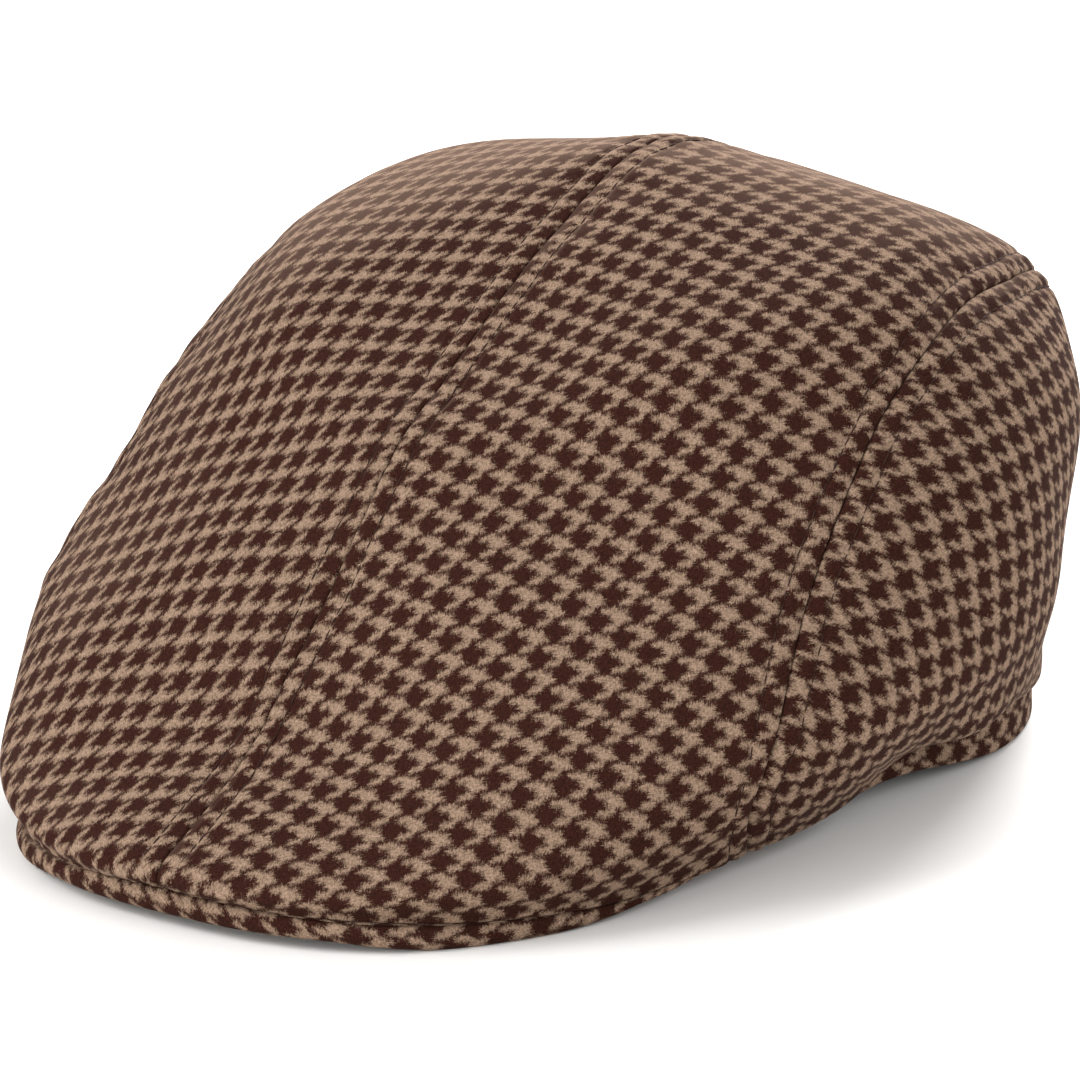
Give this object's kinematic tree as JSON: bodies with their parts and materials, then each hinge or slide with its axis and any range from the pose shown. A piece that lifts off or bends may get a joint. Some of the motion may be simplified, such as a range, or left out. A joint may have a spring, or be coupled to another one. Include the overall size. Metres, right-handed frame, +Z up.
{
  "type": "flat cap",
  "caption": "Low rounded wool cap in brown and tan houndstooth, with a stiff front peak under the crown's hem, a folded band and an open hollow for the head.",
  "frame": {"origin": "middle of the cap's bounding box, on the surface that it lies on", "axes": "+Z up, the peak towards -Y, +X towards the wearer's left"},
  "size_m": [0.224, 0.2618, 0.1296],
  "materials": {
    "wool": "brushed houndstooth wool, dark brown and tan"
  },
  "bodies": {
    "root": {"crown_top_left": "wool", "crown_top_right": "wool", "crown_side_left": "wool", "crown_side_right": "wool", "band": "wool", "peak": "wool"}
  },
  "joints": []
}
